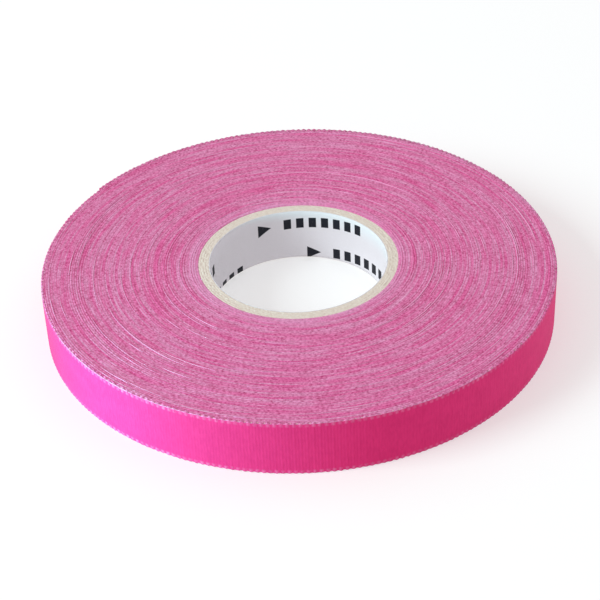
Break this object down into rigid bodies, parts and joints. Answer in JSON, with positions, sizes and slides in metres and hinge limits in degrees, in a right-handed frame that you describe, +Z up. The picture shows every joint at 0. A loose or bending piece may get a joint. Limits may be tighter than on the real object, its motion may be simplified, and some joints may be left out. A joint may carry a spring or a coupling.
{
  "type": "grip tape roll",
  "caption": "Flat roll of narrow woven cloth tape, wound adhesive side in on a lined paper tube, with a free end that peels away.",
  "frame": {"origin": "on the axis of the core, in the plane the roll rests on", "axes": "+Z up along the axis of the core; the cut end of the strip is at 142 degrees from +X towards +Y"},
  "size_m": [0.0895, 0.0898, 0.01],
  "materials": {
    "cloth": "dyed woven cotton, matt",
    "adhesive": "soft rubber adhesive, dull",
    "board": "uncoated paper board",
    "printed_paper": "smooth white printed paper"
  },
  "bodies": {
    "roll": {"core_liner": "printed_paper", "core_ply_1": "board", "core_ply_2": "board", "core_ply_3": "board", "core_ply_4": "board", "wound_cloth": "cloth", "wound_adhesive": "adhesive"},
    "leader_1": {"leader_cloth_1": "cloth", "leader_adhesive_1": "adhesive"},
    "leader_2": {"leader_cloth_2": "cloth", "leader_adhesive_2": "adhesive"},
    "leader_3": {"leader_cloth_3": "cloth", "leader_adhesive_3": "adhesive"},
    "leader_4": {"leader_cloth_4": "cloth", "leader_adhesive_4": "adhesive"},
    "leader_5": {"leader_cloth_5": "cloth", "leader_adhesive_5": "adhesive"},
    "leader_6": {"leader_cloth_6": "cloth", "leader_adhesive_6": "adhesive"},
    "leader_7": {"leader_cloth_7": "cloth", "leader_adhesive_7": "adhesive"},
    "leader_8": {"leader_cloth_8": "cloth", "leader_adhesive_8": "adhesive"}
  },
  "joints": [
    {"name": "leader_peel", "type": "hinge", "parent": "roll", "child": "leader_1", "pos_m": [0.03526, 0.02779, 0.005], "axis": [0, 0, -1], "range_deg": [0, 60]},
    {"name": "leader_bend_2", "type": "hinge", "parent": "leader_1", "child": "leader_2", "pos_m": [0.02813, 0.03505, 0.005], "axis": [0, 0, -1], "range_deg": [0, 13]},
    {"name": "leader_bend_3", "type": "hinge", "parent": "leader_2", "child": "leader_3", "pos_m": [0.01955, 0.04052, 0.005], "axis": [0, 0, -1], "range_deg": [0, 13]},
    {"name": "leader_bend_4", "type": "hinge", "parent": "leader_3", "child": "leader_4", "pos_m": [0.00996, 0.04391, 0.005], "axis": [0, 0, -1], "range_deg": [0, 13]},
    {"name": "leader_bend_5", "type": "hinge", "parent": "leader_4", "child": "leader_5", "pos_m": [-0.00015, 0.04507, 0.005], "axis": [0, 0, -1], "range_deg": [0, 13]},
    {"name": "leader_bend_6", "type": "hinge", "parent": "leader_5", "child": "leader_6", "pos_m": [-0.01026, 0.04391, 0.005], "axis": [0, 0, -1], "range_deg": [0, 13]},
    {"name": "leader_bend_7", "type": "hinge", "parent": "leader_6", "child": "leader_7", "pos_m": [-0.01986, 0.04052, 0.005], "axis": [0, 0, -1], "range_deg": [0, 13]},
    {"name": "leader_bend_8", "type": "hinge", "parent": "leader_7", "child": "leader_8", "pos_m": [-0.02844, 0.03505, 0.005], "axis": [0, 0, -1], "range_deg": [0, 13]}
  ],
  "couplings": [
    {"joint": "leader_bend_2", "follows": "leader_peel", "ratio": 0.2},
    {"joint": "leader_bend_3", "follows": "leader_peel", "ratio": 0.2},
    {"joint": "leader_bend_4", "follows": "leader_peel", "ratio": 0.2},
    {"joint": "leader_bend_5", "follows": "leader_peel", "ratio": 0.2},
    {"joint": "leader_bend_6", "follows": "leader_peel", "ratio": 0.2},
    {"joint": "leader_bend_7", "follows": "leader_peel", "ratio": 0.2},
    {"joint": "leader_bend_8", "follows": "leader_peel", "ratio": 0.2}
  ]
}
